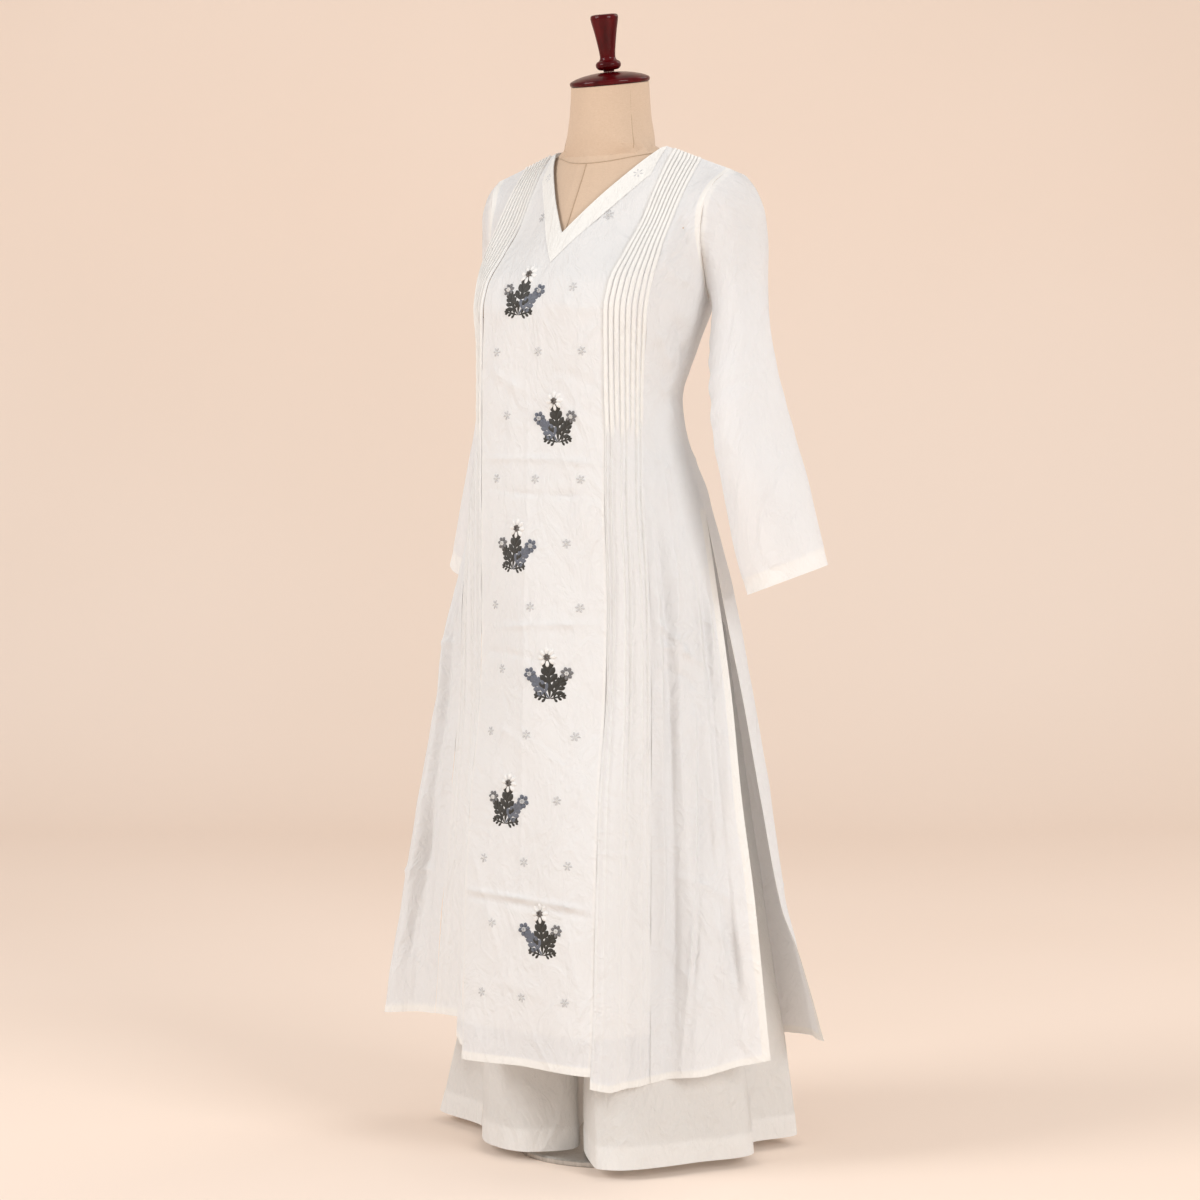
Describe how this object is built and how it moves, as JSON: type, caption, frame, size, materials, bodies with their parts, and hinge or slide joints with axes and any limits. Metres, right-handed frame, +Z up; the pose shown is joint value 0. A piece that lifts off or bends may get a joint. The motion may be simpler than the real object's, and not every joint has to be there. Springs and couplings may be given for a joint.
{
  "type": "kurta set on dress form",
  "caption": "Long A-line kurta with V neck, pin-tucked panels and side slits over wide trousers, worn by a limbless dress form on a post with a round foot.",
  "frame": {"origin": "centre of the round foot's underside, on the floor under the stand's post", "axes": "+Z up along the post, -Y out of the front of the kurta, +X towards the wearer's left"},
  "size_m": [0.5951, 0.3957, 1.4723],
  "materials": {
    "cloth": "fine plain-woven cotton voile, matt, slightly sheer",
    "form_linen": "natural linen stretched over the form, matt",
    "lacquered_wood": "turned wood in dark red gloss lacquer",
    "stand_steel": "satin steel"
  },
  "bodies": {
    "root": {"kurta_front_centre": "cloth", "kurta_tucks_left": "cloth", "kurta_tucks_right": "cloth", "kurta_front_left": "cloth", "kurta_front_right": "cloth", "kurta_back": "cloth", "kurta_neck_band": "cloth", "kurta_sleeve_left": "cloth", "kurta_sleeve_right": "cloth", "form_torso": "form_linen", "form_cap": "lacquered_wood", "form_knob": "lacquered_wood", "stand_post": "stand_steel", "stand_foot": "stand_steel", "trouser_waistband": "cloth", "trouser_front_left": "cloth", "trouser_back_left": "cloth", "trouser_front_right": "cloth", "trouser_back_right": "cloth"}
  },
  "joints": []
}
